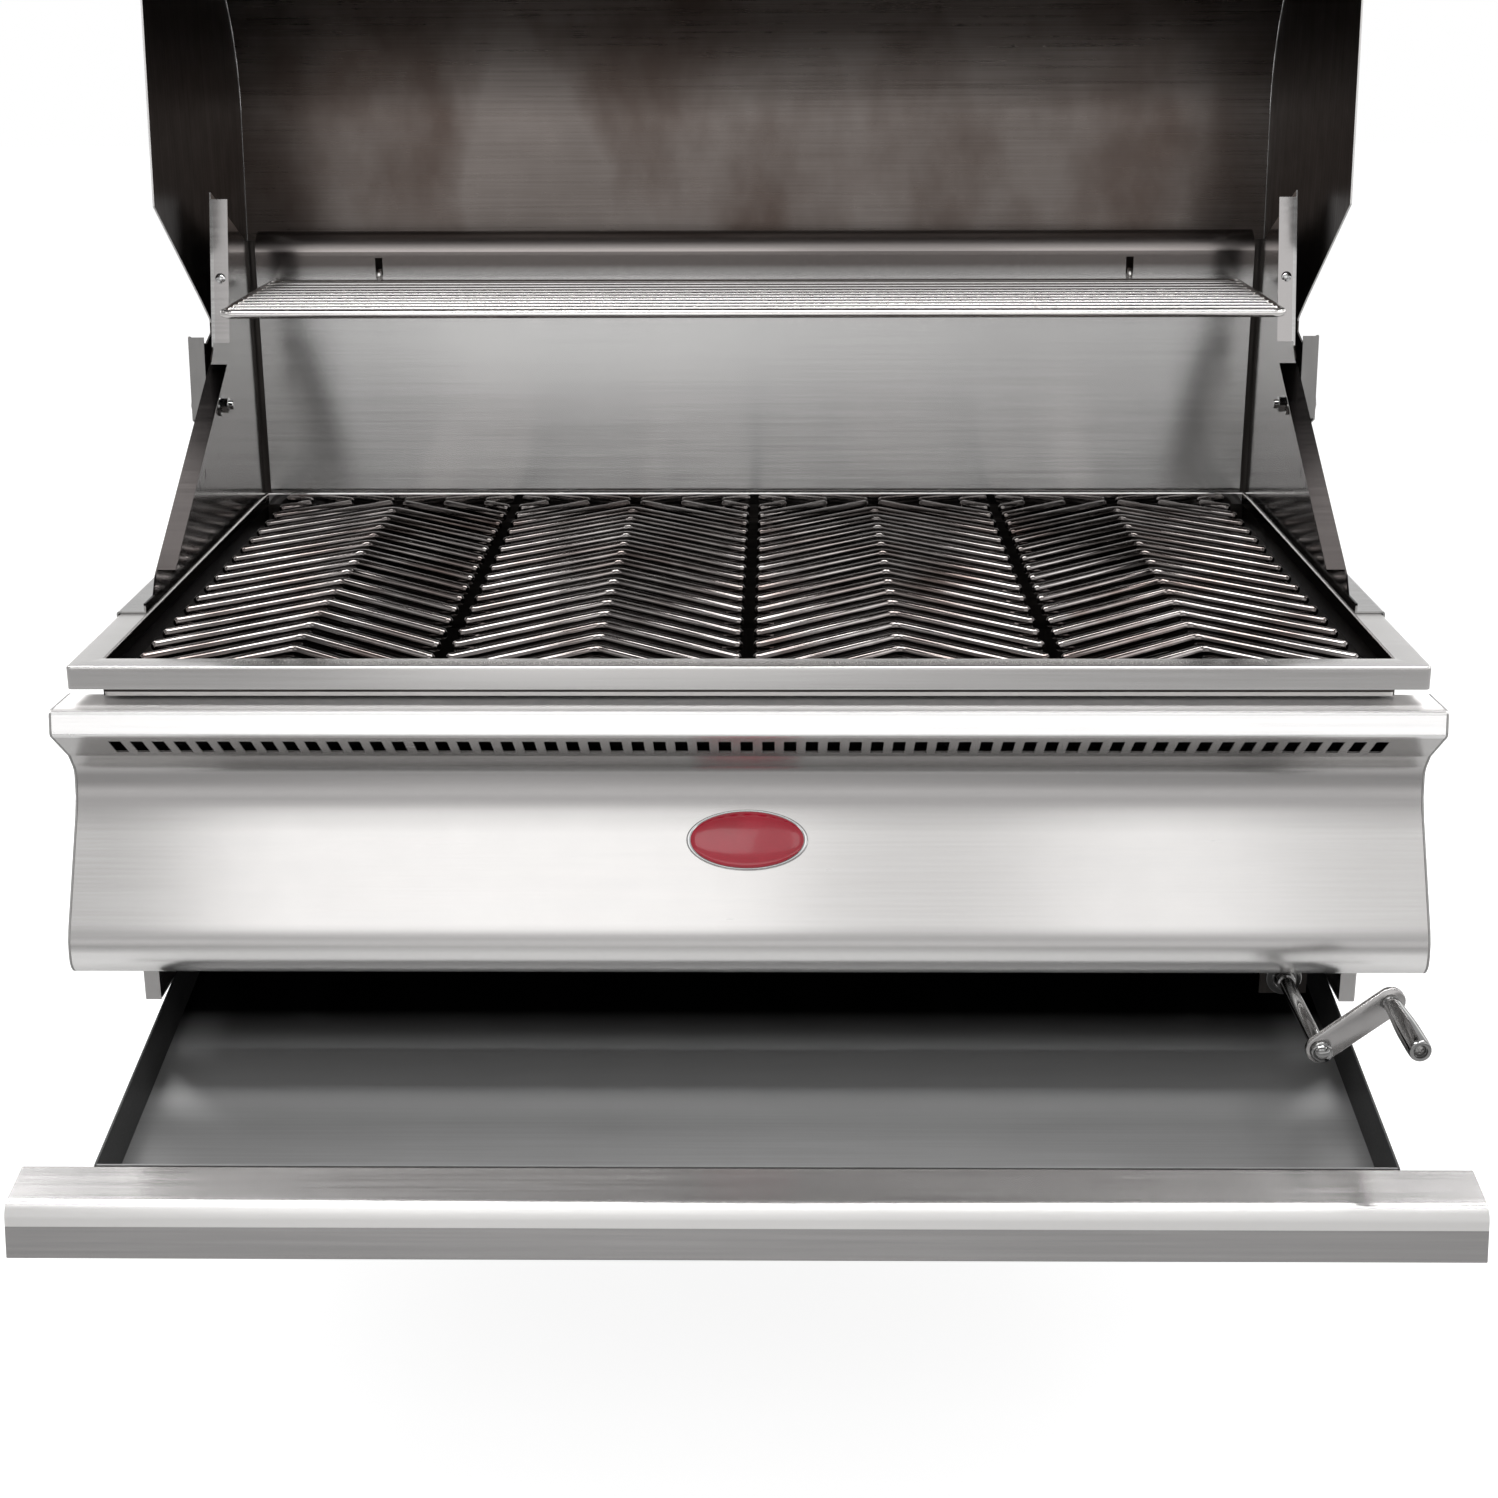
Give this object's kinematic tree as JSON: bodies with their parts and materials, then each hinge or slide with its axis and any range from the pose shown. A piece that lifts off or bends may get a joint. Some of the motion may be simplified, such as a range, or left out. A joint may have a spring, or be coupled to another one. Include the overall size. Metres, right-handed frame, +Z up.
{
  "type": "built-in charcoal grill",
  "caption": "Counter-mounted charcoal grill with an open roll-top hood, herringbone grates, warming rack, crank-raised charcoal tray and drop-front ash drawer.",
  "frame": {"origin": "middle of the counter cut-out, in the plane of the counter top on which the rim's outer lip stands", "axes": "+X to the cook's right, -Y towards the cook, +Z up"},
  "size_m": [1.022, 0.9258, 0.9674],
  "materials": {
    "brushed_steel": "stainless sheet brushed along its length",
    "shaded_steel": "plain stainless sheet",
    "heat_stained_steel": "stainless sheet, dark inside",
    "grate_steel": "polished stainless rod",
    "chrome": "polished stainless",
    "red_enamel": "gloss enamel",
    "bronze": "bearing bronze",
    "black_paint": "satin"
  },
  "bodies": {
    "firebox": {"counter_rim": "brushed_steel", "firebox_shell": "shaded_steel", "left_side_wall": "brushed_steel", "right_side_wall": "brushed_steel", "back_wall": "brushed_steel", "front_panel": "brushed_steel", "left_end_cap": "shaded_steel", "right_end_cap": "shaded_steel", "badge": "red_enamel", "left_drawer_rail": "shaded_steel", "right_drawer_rail": "shaded_steel", "left_panel_stay": "shaded_steel", "right_panel_stay": "shaded_steel", "crank_bracket": "shaded_steel", "crank_bearing": "bronze", "screw_rear_bearing": "shaded_steel", "left_hinge_bolt": "chrome", "right_hinge_bolt": "chrome", "left_flange_screw": "chrome", "right_flange_screw": "chrome", "left_front_tray_guide": "shaded_steel", "left_rear_tray_guide": "shaded_steel", "right_front_tray_guide": "shaded_steel", "right_rear_tray_guide": "shaded_steel"},
    "hood": {"hood_shell": "brushed_steel", "left_hood_side": "heat_stained_steel", "right_hood_side": "heat_stained_steel", "hood_handle": "chrome", "left_handle_post": "chrome", "right_handle_post": "chrome", "thermometer_case": "chrome"},
    "needle": {"thermometer_needle": "black_paint"},
    "rack": {"warming_rack": "chrome"},
    "grate_1": {"cooking_grate_1": "grate_steel"},
    "grate_2": {"cooking_grate_2": "grate_steel"},
    "grate_3": {"cooking_grate_3": "grate_steel"},
    "grate_4": {"cooking_grate_4": "grate_steel"},
    "tray": {"charcoal_tray": "shaded_steel"},
    "lift_slider": {"left_ramp_plate": "shaded_steel", "right_ramp_plate": "shaded_steel", "slider_bar": "shaded_steel", "lift_nut": "bronze"},
    "crank": {"crank_shaft": "chrome", "crank_arm": "chrome", "crank_nut": "chrome", "grip_spindle": "chrome"},
    "grip": {"crank_grip": "chrome"},
    "drawer_carriage": {"drawer_axle": "shaded_steel", "left_drawer_glide": "shaded_steel", "right_drawer_glide": "shaded_steel"},
    "drawer": {"drawer_tray": "shaded_steel", "drawer_front": "brushed_steel"}
  },
  "joints": [
    {"name": "hood_hinge", "type": "hinge", "parent": "firebox", "child": "hood", "pos_m": [0, 0.13, 0.1325], "axis": [1, 0, 0], "range_deg": [0, 95]},
    {"name": "needle_turn", "type": "hinge", "parent": "hood", "child": "needle", "pos_m": [0, 0.21584, 0.5548], "axis": [0, -0.2041, -0.9789], "range_deg": [0, 270], "stiffness_Nm_per_rad": 0.002},
    {"name": "rack_lift", "type": "slide", "parent": "firebox", "child": "rack", "axis": [0, 0, 1], "range_m": [0, 0.009]},
    {"name": "grate_1_lift", "type": "slide", "parent": "firebox", "child": "grate_1", "axis": [0, 0, 1], "range_m": [0, 0.08]},
    {"name": "grate_2_lift", "type": "slide", "parent": "firebox", "child": "grate_2", "axis": [0, 0, 1], "range_m": [0, 0.08]},
    {"name": "grate_3_lift", "type": "slide", "parent": "firebox", "child": "grate_3", "axis": [0, 0, 1], "range_m": [0, 0.08]},
    {"name": "grate_4_lift", "type": "slide", "parent": "firebox", "child": "grate_4", "axis": [0, 0, 1], "range_m": [0, 0.08]},
    {"name": "tray_lift", "type": "slide", "parent": "firebox", "child": "tray", "axis": [0, 0, 1], "range_m": [0, 0.075]},
    {"name": "slider_travel", "type": "slide", "parent": "firebox", "child": "lift_slider", "axis": [0, -1, 0], "range_m": [0, 0.075]},
    {"name": "crank_turn", "type": "hinge", "parent": "firebox", "child": "crank", "pos_m": [0.41, 0, -0.2305], "axis": [0, 1, 0], "range_deg": [0, 1350]},
    {"name": "grip_spin", "type": "hinge", "parent": "crank", "child": "grip", "pos_m": [0.45715, -0.48, -0.1934], "axis": [0, 1, 0], "continuous": true},
    {"name": "drawer_slide", "type": "slide", "parent": "firebox", "child": "drawer_carriage", "axis": [0, 1, 0], "range_m": [-0.12, 0.2025]},
    {"name": "drawer_tilt", "type": "hinge", "parent": "drawer_carriage", "child": "drawer", "pos_m": [0, -0.1383, -0.2533], "axis": [-1, 0, 0], "range_deg": [0, 8.9]}
  ],
  "couplings": [
    {"joint": "slider_travel", "follows": "tray_lift", "ratio": 1},
    {"joint": "crank_turn", "follows": "tray_lift", "rad_per_m": 314.16}
  ]
}
